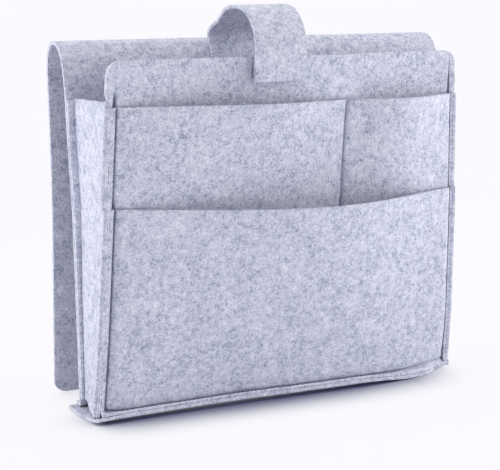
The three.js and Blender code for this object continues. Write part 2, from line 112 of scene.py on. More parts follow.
# Back sheet, as in the CAD
BACK_Y = 29.5
BACK_LEAN = 8.5
BACK_LEAN_START = 140.0
FOLD_START = 234.0
FOLD_FRONT_DEPTH = 24.0
FOLD_RISE = 33.0
FOLD_REAR_DEPTH = 16.5
FOLD_DROP = 20.0
CROWN_FLAT = 1.0
FLAP_FOOT = 1.0
FLAP_CORNER = 9.0
APEX_Y = BACK_Y + BACK_LEAN + FOLD_FRONT_DEPTH
APEX_Z = FOLD_START + FOLD_RISE
FLAP_Y = APEX_Y + FOLD_REAR_DEPTH

# Closure strap, as in the CAD, but for the rear leg of its arch, which is up to 3.5 mm lower
STRAP_LEFT_X = -41.0
STRAP_RIGHT_X = 0.0
STRAP_RISE = 22.0
STRAP_BEND_ABOVE = 6.0
STRAP_OVERLAP = 17.0
STRAP_ROOT_UPRIGHT = 2.5
STRAP_ROOT_ARC = (0.03, 0.33)
STRAP_PIVOT_SHARE = 0.504
STRAP_PIVOT_ABOVE = 3.5
STRAP_ARCH = (
    (0, 0), (0.04, 0.2), (0.12, 0.34), (0.2, 0.47), (0.265, 0.61), (0.31, 0.77), (0.37, 0.885),
    (0.47, 0.975), (0.6, 1), (0.72, 0.945), (0.82, 0.78), (0.89, 0.58), (0.935, 0.38), (0.97, 0.17),
)
STRAP_PIVOT_Y = APEX_Y - STRAP_PIVOT_SHARE * FOLD_FRONT_DEPTH
STRAP_PIVOT_Z = APEX_Z + STRAP_PIVOT_ABOVE
PATCH_HEIGHT = 12.0
PATCH_INSET = 2.0

# Depth of each layer's front face behind the upper pocket's, as in the CAD
LOWER_LAYER = -LAYER
UPPER_LAYER = 0.0
MIDDLE_LAYER = LAYER
GUSSET_LAYER = 2 * LAYER

# What follows, up to the cut edges, are forms that only the dressed model has
# An ease holds where it starts and how far it reaches; other pairs are for the left and the right

# Creases: their radius, the share of their depth that the sewing leaves the layers, and its pull
CREASE = 0.35
CREASE_EASE = (-2.0, 12.0)
PRESS_LOW = (0.52, 0.66)
PRESS_EASE = (-6.0, 14.0)
PRESS_REACH = 6.0
PINCH = (3.2, 3.2)
PINCH_WIDTH = 0.8
PINCH_TAIL = 0.9
PINCH_TAIL_REACH = 3.0

# Plump felt beside the seams, and the divider seam's groove
PLUMP = (0.3, 2.4)
PLUMP_EASE = (8.0, 30.0)
PLUMP_RISE = 1.2
PLUMP_REACH = 12.0
MIDDLE_PLUMP_SHARE = 0.3
GROOVE = 2.0
GROOVE_WIDTH = 1.1
GROOVE_EASE = (40.0, 12.0)

# Flanges: fuller felt, a flare and a rounded tip at the right foot, and a lift off the base
FLANGE_FILL = 0.2
RIGHT_FLARE = 1.7
RIGHT_FLARE_HEIGHT = 75.0
FLANGE_ROUND = 1.8
FLANGE_ROUND_HEIGHT = 12.0
FLANGE_LIFT = 1.0

# Share by which the middle panel's flanges are opened above the upper mouth
OPENED = 0.85
OPENED_EASE = (2.0, 12.0)

# Rear flanges, cut narrower at the gussets' height and most at the foot
REAR_TRIM = 0.8
REAR_FOOT_TRIM = 2.6
REAR_TRIM_HEIGHT = 180.0
REAR_TRIM_EASE = 20.0

# Foot of the lower pocket: its bend, how far its faces sink, its distance from the base's edge, its
# shortest length and flat part, the pull of its seam, and the wall's first rows
FOOT_BEND = 0.6
FOOT_PRESS = 0.18
FOOT_SINK = 0.1
FOOT_INSET = 0.4
FOOT_SHORTEST = 1.0
FOOT_FLAT = 0.8
FOOT_PINCH = 1.9
FOOT_PINCH_HEIGHT = 1.0
FOOT_ROWS = (0, 0.5, 1.0, 1.6, 2.3)
WALL_ROWS_START = 3.0

# Bends of the gussets, and the rise of their foot to the cable outlet
WALL_BEND = 2.4
REAR_BEND = 0.8
OUTLET_RISE = 7.0

# Base: lip, belly, front edge curled off the floor, trimmed left corner and slanted right one
BASE_REACH = 5.8
BASE_BELLY = 4.8
BELLY_START = -50.0
BELLY_SKEW = 1.4
BELLY_HEIGHT = 80.0
BASE_CURL = 4.0
BASE_CURL_REACH = 13.0
BASE_CURL_EASE = (55.0, 65.0)
LEFT_CURL_LOSS = 0.3
LEFT_CURL_REACH = 20.0
BASE_CURL_SHARE = 0.9
FOOT_CURL_SHARE = 0.8
BASE_TRIM = 5.8
BASE_TRIM_REACH = 28.0
CORNER_START = 124.0
CORNER_SLOPE = 0.52
CORNER_EASE = 3.0
CORNER_ROUND = 11.0
CORNER_ROUND_START = BACK_X - 6.0
CORNER_ROUND_REACH = 8.0
CORNER_LIFT = (2.5, 2.8)
CORNER_LIFT_REACH = (20.0, 60.0)

# Flap: how far it sways forward between two heights, and back below them
FLAP_FORWARD = 2.4
FLAP_BACK = 4.5
FLAP_NODES = (75.0, 246.0)

# Unevenness: each has the lumps' depth, their size and the offset of its part of the lattice
ROUGHNESS = ((0.16, 7.0, 0), (0.1, 3.4, 31))
FRONT_WAVES = ((0.75, 52.0, 0), (0.3, 21.0, 77))
FRONT_WAVE_EASE = (10.0, 40.0)
FRONT_WAVE_POWER = 0.7
GUSSET_WAVES = ((0.8, 45.0, 0),)
GUSSET_WAVE_EASE = (20.0, 60.0)
BACK_WAVES = ((0.35, 48.0, 0),)
BACK_WAVE_EASE = (20.0, 40.0)
FLAP_WAVES = ((0.9, 70.0, 0),)
FLAP_WAVE_REACH = 60.0
FLAP_OFFSET = 300.0
INNER_SEED = 11

# Rounded cut edges: how far they stand out, and the share of that at each place through the felt
ROUND_EDGE = 0.18
TAPE_ROUND_EDGE = 0.1
EDGE_RINGS = ((0.14, 0.75), (0.5, 1.0), (0.86, 0.75))

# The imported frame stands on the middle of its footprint, so its Y differs from the construction's
Y_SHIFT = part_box("back_panel")[0].y / MM - BACK_Y

# Camera fitted to the caddy's corners in the photograph
CAMERA_PLACE = (-0.4652, -0.9147, 0.320)
CAMERA_YAW = 25.9
CAMERA_PITCH = 11.0
CAMERA_LENS = 99.87


# Helpers for curves and surfaces

def lerp(a, b, t):
    return a + (b - a) * t


def unit(t):
    """Held between 0 and 1"""
    return np.clip(t, 0, 1)


def smooth(t):
    t = unit(t)
    return t * t * (3 - 2 * t)


def eased(value, start, reach):
    """Smooth rise from 0 at the start to 1 a reach further on"""
    return smooth((value - start) / reach)


def fading(distance, reach):
    """Straight fall from 1 at no distance to 0 at the reach"""
    return unit(1 - distance / reach)


def hump(t):
    """Half a sine wave, 0 at both ends and 1 halfway"""
    return np.sin(math.pi * unit(t))


def spaced(length, step, edge=0.5):
    """Places from 0 to 1 along a length, with a narrow first and last step that keeps an edge crisp"""
    inner = np.linspace(edge, length - edge, max(int(round(length / step)), 2) + 1)
    return np.concatenate([[0.0], inner, [length]]) / length


def graded(stops, fine, coarse):
    """Places along a line, close together beside each stop and further apart between them"""
    places = [stops[0]]
    for start, end in zip(stops, stops[1:]):
        steps = [fine]
        while sum(steps) < (end - start) / 2:
            steps.append(min(steps[-1] * 1.25, coarse))
        half = np.cumsum(steps) * (end - start) / 2 / sum(steps)
        places.extend(start + half)
        places.extend(end - half[-2::-1])
        places.append(end)
    return np.array(places)


def graded_shares(length, fine, coarse):
    """Shares from 0 to 1 of a length, close together at both ends"""
    return graded((0.0, length), fine, coarse) / length


LATTICE = np.random.default_rng(7).uniform(-1, 1, (32, 32, 32))


def lumps(points, size):
    """Smooth unevenness in space, from -1 to 1, with lumps of one size"""
    p = np.asarray(points) / size
    cell = np.floor(p).astype(int)
    f = smooth(p - cell)
    total = 0
    for corner in np.ndindex(2, 2, 2):
        weight = np.prod(np.where(np.array(corner) == 1, f, 1 - f), axis=-1)
        at = (cell + corner) % LATTICE.shape[0]
        total = total + weight * LATTICE[at[..., 0], at[..., 1], at[..., 2]]
    return total


def uneven(points, waves):
    """Sum of lumps of several sizes"""
    return sum(depth * lumps(points + offset, size) for depth, size, offset in waves)


def arc(centre, radius_a, radius_b, start, end, count):
    """Part of an ellipse in a plane, with its angles in degrees"""
    angle = np.radians(np.linspace(start, end, count))
    return np.stack([centre[0] + radius_a * np.cos(angle), centre[1] + radius_b * np.sin(angle)], -1)


def fillet(before, corner, after, radius, count):
    """Round bend at a corner between two straight runs"""
    into, out = corner - before, after - corner
    into, out = into / np.linalg.norm(into), out / np.linalg.norm(out)
    reach = radius * math.tan(math.acos(np.clip(into @ out, -1, 1)) / 2)
    start, end = corner - into * reach, corner + out * reach
    t = np.linspace(0, 1, count)[:, None]
    return lerp(lerp(start, corner, t), lerp(corner, end, t), t)


def distances(path):
    """How far along the path each of its points is"""
    return np.concatenate([[0], np.cumsum(np.linalg.norm(np.diff(path, axis=0), axis=1))])


def points_at(path, at):
    """Points of a path at distances along it"""
    along = distances(path)
    return np.stack([np.interp(at, along, path[:, k]) for k in range(path.shape[1])], -1)


def resampled(path, count):
    """The same path with a number of evenly spaced points"""
    return points_at(path, np.linspace(0, distances(path)[-1], count))


def even_path(points, step, ends=0.5):
    """The same path with its points a step apart and a short step at each end"""
    points = np.asarray(points, float)
    length = distances(points)[-1]
    return points_at(points, spaced(length, step, ends) * length)


def offset_path(path, distance):
    """Path moved to its left by a distance, in its plane"""
    run = np.gradient(path, axis=0)
    run /= np.linalg.norm(run, axis=1)[:, None]
    return path + np.reshape(distance, (-1, 1)) * np.stack([-run[:, 1], run[:, 0]], -1)


def relaxed(path, rounds):
    """Path with its kinks eased out; its ends stay"""
    for _ in range(rounds):
        path = np.concatenate([path[:1], (path[:-2] + 2 * path[1:-1] + path[2:]) / 4, path[-1:]])
    return path


def spline(points, per_span):
    """Smooth curve through points"""
    p = np.asarray(points, float)
    p = np.concatenate([[2 * p[0] - p[1]], p, [2 * p[-1] - p[-2]]])
    out = []
    for a, b, c, d in zip(p, p[1:], p[2:], p[3:]):
        t = np.linspace(0, 1, per_span, endpoint=False)[:, None]
        bend = (2 * a - 5 * b + 4 * c - d) * t ** 2 + (3 * b - a - 3 * c + d) * t ** 3
        out.append(0.5 * (2 * b + (c - a) * t + bend))
    return np.concatenate(out + [p[-2:-1]])


# Shape of the front and the back, as in the CAD, but for the right flare and the rear trim
# A share runs from 0 at the left crease to 1 at the right one

def share_of(x):
    return (x + HALF_WIDTH) / (2 * HALF_WIDTH)


def lower_mouth(share):
    return lerp(*LOWER_MOUTH, share) - LOWER_MOUTH_SAG * (1 - (2 * share - 1) ** 2)


def upper_mouth(share):
    left, divider, right = UPPER_MOUTH
    beyond = (share - DIVIDER_SHARE) / (1 - DIVIDER_SHARE)
    return np.where(share < DIVIDER_SHARE, lerp(left, divider, share / DIVIDER_SHARE),
                    lerp(divider, right, beyond))


def middle_top(share):
    return lerp(*TOP, share)


def seat_y(share, z):
    """Front face of the upper pocket's layer before it opens"""
    left = FRONT_Y[0] - FRONT_LEAN[0] * z / UPPER_MOUTH[0]
    right = FRONT_Y[1] - FRONT_LEAN[1] * z / UPPER_MOUTH[2]
    sweep = CORNER_SWEEP * unit(share) ** CORNER_SWEEP_POWER * fading(z, CORNER_SWEEP_HEIGHT)
    return lerp(left, right, share) + sweep


def half_width(side, z):
    """Half width at the crease: both corners flare at their foot, and the right side bows"""
    if side == 0:
        return HALF_WIDTH + CORNER_FLARE * fading(z, CORNER_FLARE_HEIGHT) ** 2
    bow = SIDE_BOW * hump(z / UPPER_MOUTH[2])
    return HALF_WIDTH + (bow + RIGHT_FLARE * fading(z, RIGHT_FLARE_HEIGHT))


def lobe(t):
    return np.maximum(hump(t), 0) ** BULGE_POWER


def middle_bulge(share, z):
    wave = hump(unit(share) ** BULGE_SKEW) ** 2
    return MIDDLE_WAVE * wave * unit(z / middle_top(share)) ** WAVE_RISE


def upper_bulge(share, z):
    rise = unit((z - FOOT_TOP) / (upper_mouth(share) - FOOT_TOP)) ** POCKET_RISE
    left = UPPER_BULGE[0] * lobe(share / DIVIDER_SHARE)
    right = UPPER_BULGE[1] * lobe((share - DIVIDER_SHARE) / (1 - DIVIDER_SHARE))
    return np.where(share < DIVIDER_SHARE, left, right) * rise + middle_bulge(share, z)


def lower_bulge(share, z):
    rise = unit((z - FOOT_TOP) / (lower_mouth(share) - FOOT_TOP))
    return LOWER_BULGE * lobe(unit(share) ** BULGE_SKEW) * rise + middle_bulge(share, z)


def back_y(z):
    return BACK_Y + BACK_LEAN * eased(z, BACK_LEAN_START, FOLD_START - BACK_LEAN_START)


def rear_edge(z):
    """Half width of the rear flanges, which are cut narrower towards the foot"""
    trim = REAR_TRIM + REAR_FOOT_TRIM * fading(z, REAR_TRIM_HEIGHT)
    return BACK_X - trim * (1 - eased(z, UPPER_MOUTH[2], REAR_TRIM_EASE))


# Mesh making

def closed_sheet(name, outer, inner, material, round_edge=ROUND_EDGE):
    """Closed cloth between two matching grids of points, with a rounded cut edge all round"""
    rows, columns = outer.shape[:2]
    count = rows * columns
    index = np.arange(count).reshape(rows, columns)
    a = index[:-1, :-1].ravel()
    face = np.stack([a, a + 1, a + columns + 1, a + columns], 1)
    ring = np.concatenate([index[0, :-1], index[:-1, -1], index[-1, :0:-1], index[:0:-1, 0]])
    row, column = np.unravel_index(ring, (rows, columns))
    beside = index[np.clip(row, 1, rows - 2), np.clip(column, 1, columns - 2)]
    flat_outer, flat_inner = outer.reshape(-1, 3), inner.reshape(-1, 3)
    outward = flat_outer[ring] - flat_outer[beside]
    outward /= np.linalg.norm(outward, axis=1)[:, None]
    points = [flat_outer, flat_inner]
    strips = [ring]
    for depth, push in EDGE_RINGS:
        points.append(lerp(flat_outer[ring], flat_inner[ring], depth) + outward * push * round_edge)
        strips.append(np.arange(len(ring)) + 2 * count + (len(strips) - 1) * len(ring))
    strips.append(ring + count)
    faces = [face, face[:, ::-1] + count]
    for near, far in zip(strips, strips[1:]):
        faces.append(np.stack([np.roll(near, -1), near, far, np.roll(far, -1)], 1))
    return mesh_object(name, np.concatenate(points), np.concatenate(faces), material)


def linked(name, data):
    """New object in the scene"""
    made = bpy.data.objects.new(name, data)
    bpy.context.scene.collection.objects.link(made)
    return made


def mesh_object(name, points, faces, material):
    points = (np.asarray(points, float) + (0, Y_SHIFT, 0)) * MM
    faces = np.asarray(faces)
    p0, p1, p2, p3 = (points[faces[:, k]] for k in range(4))
    volume = np.einsum("ij,ij->i", p0, np.cross(p1, p2) + np.cross(p2, p3)).sum()
    if volume < 0:
        faces = faces[:, ::-1]
    mesh = bpy.data.meshes.new(name)
    mesh.from_pydata(points.tolist(), [], faces.tolist())
    mesh.shade_smooth()
    mesh.materials.append(material)
    return linked(name, mesh)


def felted(grid, strength=1.0, seed=0.0):
    """Face of a felt sheet, with its fine unevenness"""
    normal = np.cross(np.gradient(grid, axis=0), np.gradient(grid, axis=1))
    normal /= np.maximum(np.linalg.norm(normal, axis=-1), 1e-9)[..., None]
    return grid + normal * (uneven(grid + seed, ROUGHNESS) * strength)[..., None]


# Materials

class Graph:
    """Short way to write a node material"""

    def __init__(self, name):
        self.material = bpy.data.materials.new(name)
        self.material.use_nodes = True
        self.tree = self.material.node_tree
        self.shader = self.tree.nodes["Principled BSDF"]
        self.place = self.add("ShaderNodeTexCoord").outputs["Object"]

    def add(self, kind, inputs=(), **settings):
        made = self.tree.nodes.new(kind)
        for key, value in settings.items():
            setattr(made, key, value)
        for key, value in dict(inputs).items():
            self.put(made.inputs[key], value)
        return made

    def put(self, socket, value):
        if isinstance(value, bpy.types.NodeSocket):
            self.tree.links.new(value, socket)
        else:
            socket.default_value = value

    def math(self, operation, a, b=0.0, c=0.0):
        return self.add("ShaderNodeMath", {0: a, 1: b, 2: c}, operation=operation).outputs[0]

    def noise(self, scale, detail=2.0, roughness=0.5, vector=None):
        inputs = {"Vector": vector or self.place, "Scale": scale, "Detail": detail, "Roughness": roughness}
        return self.add("ShaderNodeTexNoise", inputs).outputs["Fac"]

    def stretched(self, turn, stretch):
        """Coordinates turned and drawn out, so that a noise on them makes fibres"""
        turned = self.add("ShaderNodeMapping",
                          {"Vector": self.place, "Rotation": [math.radians(t) for t in turn]})
        return self.add("ShaderNodeMapping", {"Vector": turned.outputs[0], "Scale": stretch}).outputs[0]

    def open_share(self, reach, samples):
        """How open the surface is within a reach, from 0 in a tight crease to 1"""
        made = self.add("ShaderNodeAmbientOcclusion", {"Distance": reach}, samples=samples)
        return made.outputs["AO"]

    def ramp(self, value, low, high, to_low=0.0, to_high=1.0):
        inputs = {"Value": value, "From Min": low, "From Max": high, "To Min": to_low, "To Max": to_high}
        return self.add("ShaderNodeMapRange", inputs).outputs["Result"]

    def mix(self, factor, a, b):
        made = self.add("ShaderNodeMix", data_type="RGBA")
        self.put(made.inputs[0], factor)
        self.put(made.inputs[6], a)
        self.put(made.inputs[7], b)
        return made.outputs[2]


def rgb(red, green, blue):
    """Colour as it is written in 8 bits, in the renderer's linear numbers"""
    def linear(value):
        value /= 255
        return value / 12.92 if value <= 0.04045 else ((value + 0.055) / 1.055) ** 2.4
    return (linear(red), linear(green), linear(blue), 1.0)


FELT_MAIN = (205, 207, 222)
FELT_DARK = (146, 151, 176)
FELT_LIGHT = (236, 238, 247)
# Grey-blue painted into creases and tight corners as shade, with its reach and strength
PAINTED_CREASE_SHADE_COLOUR = (98, 101, 126)
SHEEN_TINT = (0.92, 0.94, 1.0, 1.0)
CREASE_SHADE_REACH = 0.004
CREASE_SHADE = 0.55
RELIEF_DEPTH = 0.0011

# Marks in the felt, from large to small: scale, detail and roughness of their noise
CLOUDS = (45, 2.0, 0.5)
PATCHES = (80, 3.0, 0.55)
CLUMPS = (230, 2.0, 0.55)
FIBRES = (300, 2.0, 0.6)
FLECKS = (640, 2.0, 0.6)
GRAIN = (1250, 1.0, 0.5)

# Turn and stretch of the three ways that the fibres run
FIBRE_WAYS = (((20, 0, 12), (1, 1, 5)), ((0, 60, 40), (1, 5, 1.4)), ((35, 20, 95), (5, 1, 1)))


def felt_material(name, main=FELT_MAIN, dark=FELT_DARK, light=FELT_LIGHT, relief=0.6):
    """Heathered needle felt: clumps, flecks that gather in patches, and drawn-out fibres, with shade
    painted into its creases
    """
    g = Graph(name)
    clouds, clumps, flecks, grain = (g.noise(*mark) for mark in (CLOUDS, CLUMPS, FLECKS, GRAIN))
    patches = g.ramp(g.noise(*PATCHES), 0.38, 0.58)
    fibres = [g.noise(*FIBRES, vector=g.stretched(*way)) for way in FIBRE_WAYS]
    light_fibres = g.math("MAXIMUM", g.math("MAXIMUM", fibres[0], fibres[1]), fibres[2])
    dark_fibres = g.math("MINIMUM", g.math("MINIMUM", fibres[0], fibres[1]), fibres[2])
    tone = 0.5
    weights = ((clumps, 0.5, 0.9), (flecks, 0.5, 0.9), (grain, 0.5, 0.5), (clouds, 0.5, 0.22),
               (patches, 0.8, 0.09))
    for mark, middle, weight in weights:
        tone = g.math("MULTIPLY_ADD", g.math("SUBTRACT", mark, middle), weight, tone)
    colour = g.mix(g.ramp(tone, 0.48, 0.12), rgb(*main), rgb(*dark))
    colour = g.mix(g.ramp(tone, 0.52, 0.88), colour, rgb(*light))
    speck = g.math("MULTIPLY", g.ramp(flecks, 0.44, 0.30), g.ramp(patches, 0.0, 1.0, 0.75, 0.08))
    colour = g.mix(speck, colour, rgb(*dark))
    colour = g.mix(g.math("MULTIPLY", g.ramp(dark_fibres, 0.37, 0.24), 0.6), colour, rgb(*dark))
    colour = g.mix(g.math("MULTIPLY", g.ramp(light_fibres, 0.62, 0.76), 0.6), colour, rgb(*light))
    # Painted shade: the colour darkens towards a grey-blue where the AO node finds the felt closed in, in
    # creases and tight corners
    open_share = g.open_share(CREASE_SHADE_REACH, 8)
    colour = g.mix(g.ramp(open_share, 0.28, 0.62, CREASE_SHADE, 0.0), colour, rgb(*PAINTED_CREASE_SHADE_COLOUR))
    g.put(g.shader.inputs["Base Color"], colour)
    g.put(g.shader.inputs["Roughness"], g.ramp(tone, 0.2, 0.8, 0.98, 0.9))
    g.shader.inputs["Specular IOR Level"].default_value = 0.2
    g.shader.inputs["Sheen Weight"].default_value = 0.15
    g.shader.inputs["Sheen Roughness"].default_value = 0.45
    g.shader.inputs["Sheen Tint"].default_value = SHEEN_TINT
    height = g.math("MULTIPLY_ADD", g.math("SUBTRACT", light_fibres, 0.5), 0.5, tone)
    bump = g.add("ShaderNodeBump", {"Height": height, "Strength": relief, "Distance": RELIEF_DEPTH})
    g.put(g.shader.inputs["Normal"], bump.outputs[0])
    return g.material


def thread_material():
    g = Graph("sewing_thread")
    twist = g.add("ShaderNodeTexWave", {"Vector": g.place, "Scale": 420.0, "Distortion": 1.5,
                                        "Detail": 2.0}, bands_direction="DIAGONAL").outputs["Fac"]
    colour = g.mix(twist, rgb(150, 155, 178), rgb(190, 194, 211))
    g.put(g.shader.inputs["Base Color"], colour)
    g.put(g.shader.inputs["Roughness"], g.ramp(g.noise(600), 0.0, 1.0, 0.55, 0.8))
    bump = g.add("ShaderNodeBump", {"Height": twist, "Strength": 0.4, "Distance": 0.0002})
    g.put(g.shader.inputs["Normal"], bump.outputs[0])
    return g.material


FELT_FACE = felt_material("needle_felt")
THREAD = thread_material()
LOOP_TAPE = felt_material("loop_tape", (214, 217, 227), (188, 192, 206), (236, 238, 244), 0.6)
HOOK_TAPE = felt_material("hook_tape", (206, 210, 221), (178, 183, 199), (226, 229, 238), 0.5)


# Front layers: both flanges turn forward from a rounded crease

# Steps along a flange and round a crease, as shares, and over the face and beside its seams
FLANGE_STEPS = spaced(1.0, 0.25, 0.1)
CREASE_STEPS = np.linspace(0, 1, 7)
FRONT_STEP = 1.8
FINE_STEP = 0.4


def front_columns():
    """Columns across a layer, as shares: across the face, of the crease's turn, and along the flange"""
    left = [(0.0, 1.0, t) for t in FLANGE_STEPS[:0:-1]] + [(0.0, t, 0.0) for t in CREASE_STEPS[::-1]]
    places = graded((0.0, HALF_WIDTH + DIVIDER_X, 2 * HALF_WIDTH), FINE_STEP, FRONT_STEP)
    face = [(place, 0.0, 0.0) for place in places[1:-1] / (2 * HALF_WIDTH)]
    right = [(1.0, turn, along) for _, turn, along in reversed(left)]
    return np.array(left + face + right).T


def press_share(side, z):
    """Share of their depth that the sewing leaves the layers, less where the lower pocket joins them"""
    return lerp(PRESS_LOW[side], PRESS_SHARE, eased(z - lower_mouth(side), *PRESS_EASE))


def crease_radius(side, z):
    """Radius of the crease at the upper pocket's face, so that the foremost layer's is small"""
    above = eased(z - lower_mouth(side), *CREASE_EASE)
    return CREASE + LAYER * press_share(side, z) * (1 - above)


def proud(distance):
    """Share by which the felt stands proud at a distance from a seam that pulls it in"""
    return (1 - np.exp(-distance / PLUMP_RISE)) * np.exp(-distance / PLUMP_REACH)


def plump(x, starts):
    """How far the felt stands proud beside both creases"""
    left, right = np.maximum(x + starts[0], 0), np.maximum(starts[1] - x, 0)
    return PLUMP[0] * proud(left) + PLUMP[1] * proud(right)


def pinch(x, turn, starts):
    """How far the seams pull the felt in at the creases"""
    total = 0
    for distance, amount in ((x + starts[0], PINCH[0]), (starts[1] - x, PINCH[1])):
        total = total + amount * np.exp(-(distance / PINCH_WIDTH) ** 2)
        total = total + PINCH_TAIL * np.exp(-np.maximum(distance, 0) / PINCH_TAIL_REACH)
    return total * (1 - smooth(turn))


def front_grid(columns, z, depth, bulge, dent=None, plumped=1.0, held=1.0):
    """Points of one face of a front layer at a depth; held is the share of the flange's turn"""
    across, turn, along = columns
    z = np.asarray(z, float)
    turns = [TURN[side] * held for side in (0, 1)]
    radii = [crease_radius(side, z) for side in (0, 1)]
    starts = [half_width(side, z) - np.tan(turns[side] / 2) * radii[side] for side in (0, 1)]
    is_left = across < 0.5
    side = np.where(is_left, -1, 1)
    angle = np.where(is_left, *turns)
    base = np.where(is_left, *radii)
    length = np.where(is_left, *FLANGE) - np.tan(angle / 2) * base
    x = lerp(-starts[0], starts[1], across)
    share = share_of(x)
    ends = lerp(bulge(share_of(-starts[0]), z), bulge(share_of(starts[1]), z), share)
    plump_share = plumped * eased(z, *PLUMP_EASE)
    seat = seat_y(share, z) - bulge(share, z) + ends - plump(x, starts) * plump_share
    from_crease = np.where(is_left, x + starts[0], starts[1] - x)
    press = np.where(is_left, press_share(0, z), press_share(1, z))
    pressed = depth * lerp(1, lerp(press, 1, smooth(from_crease / PRESS_REACH)), held)
    seat = seat + pinch(x, turn, starts) * held
    px = x + side * ((base + pressed) * np.sin(angle * turn) + length * along * np.cos(angle))
    rounding = FLANGE_ROUND * along * fading(z - STAND, FLANGE_ROUND_HEIGHT) ** 2
    px = px - rounding * (side > 0)
    py = seat - base + (base + pressed) * np.cos(angle * turn) - length * along * np.sin(angle)
    window = hump(share) ** FRONT_WAVE_POWER * eased(z, *FRONT_WAVE_EASE) * (turn == 0)
    py = py + window * uneven(np.stack([px, np.zeros_like(px), z], -1), FRONT_WAVES)
    if dent is not None:
        py = py + dent(px, z) * (turn == 0)
    return np.stack([px, py, z], -1)


def height_rows(low, tops, step):
    """Rows from a level to each column's own top"""
    share = spaced(float(np.max(tops) - np.min(low)), step)[:, None]
    return lerp(low, tops, share)


def thickness(columns):
    """Thickness of the felt, which fills the sewn flanges"""
    return FELT + FLANGE_FILL * smooth(columns[2])


def front_sheet(name, depth, bulge, tops, dent=None, plumped=1.0, held=None):
    columns = front_columns()
    heights = height_rows(STAND + FLANGE_LIFT * smooth(columns[1]), tops(columns), FRONT_STEP)
    held = held(heights) if held else 1.0
    outer = front_grid(columns, heights, depth, bulge, dent, plumped, held)
    inner = front_grid(columns, heights, depth + thickness(columns), bulge, None, plumped, held)
    return closed_sheet(name, felted(outer), felted(inner, seed=INNER_SEED), FELT_FACE)


def middle_panel():
    def tops(columns):
        across, turn, along = columns
        width = np.where(across < 0.5, *FLANGE)
        from_edge = width * (1 - along) + np.minimum(across, 1 - across) * 2 * HALF_WIDTH
        in_corner = np.clip(TOP_CORNER - from_edge, 0, TOP_CORNER)
        return middle_top(across) - TOP_CORNER + np.sqrt(TOP_CORNER ** 2 - in_corner ** 2)

    def held(z):
        return 1 - OPENED * eased(z - UPPER_MOUTH[0], *OPENED_EASE)

    made = front_sheet("middle_panel_felt", MIDDLE_LAYER, middle_bulge, tops,
                       plumped=MIDDLE_PLUMP_SHARE, held=held)
    return felt_piece(made, ["middle_panel"])


def upper_pocket():
    def dent(x, z):
        from_seam = np.abs(x - DIVIDER_X)
        groove = GROOVE * np.exp(-(from_seam / GROOVE_WIDTH) ** 2)
        return (groove - proud(from_seam)) * eased(z, *GROOVE_EASE)

    made = front_sheet("upper_pocket_felt", UPPER_LAYER, upper_bulge,
                       lambda columns: upper_mouth(columns[0]), dent)
    return felt_piece(made, ["upper_pocket"])


# Base and the lower pocket's foot on it

# Rows along the foot, as shares, and round a bend, the base's rough depth for its rows, and its gap
FOOT_PLACES = (0.0, 0.12, 0.4, 0.7, 0.9)
BEND_COUNT = 6
BASE_DEPTH = 46.0
BASE_CLEAR = 0.1


def foot_seat(x, z=FOOT_TOP):
    """Face of the lower pocket at its foot, without its belly"""
    return seat_y(unit(share_of(x)), z) + LOWER_LAYER


def belly(x):
    """How far the front stands forward at its foot, mostly right of the middle"""
    across = unit((x - BELLY_START) / (HALF_WIDTH - BELLY_START))
    return BASE_BELLY * hump(across ** BELLY_SKEW)


def corner_lift(x):
    """How far the seams pull the felt up at the front corners"""
    left = CORNER_LIFT[0] * (1 - eased(x, -GUSSET_X, CORNER_LIFT_REACH[0]))
    return left + CORNER_LIFT[1] * eased(x - GUSSET_X, -CORNER_LIFT_REACH[1], CORNER_LIFT_REACH[1])


def front_edge(x):
    """Front edge of the base where it turns up, in plan, with its right corner cut off at a slant"""
    slant = CORNER_SLOPE * CORNER_EASE * np.log1p(np.exp((x - CORNER_START) / CORNER_EASE))
    rounding = CORNER_ROUND * unit((x - CORNER_ROUND_START) / CORNER_ROUND_REACH) ** 2
    straight = foot_seat(np.minimum(x, BASE_CORNER_X)) - BASE_REACH - belly(x)
    return straight + (slant + rounding) * (x > 0)


def curl(x, y, share=1.0):
    """How far the base turns up off the floor close to its front edge, less at both corners"""
    left_loss = LEFT_CURL_LOSS * np.exp(-(x + BACK_X) / LEFT_CURL_REACH)
    lift = BASE_CURL * (1 - eased(x, *BASE_CURL_EASE)) * (1 - left_loss)
    return share * lift * fading(y - front_edge(x), BASE_CURL_REACH) ** 2


def foot_tip(x):
    """Front edge of the lower pocket's foot, in plan"""
    return np.minimum(front_edge(x) + FOOT_INSET, foot_seat(x) - belly(x) - FOOT_SHORTEST)


def foot_face(x, y):
    """Height of the foot's upper face on the base"""
    return FOOT_TOP - FOOT_SINK + curl(x, y, FOOT_CURL_SHARE)


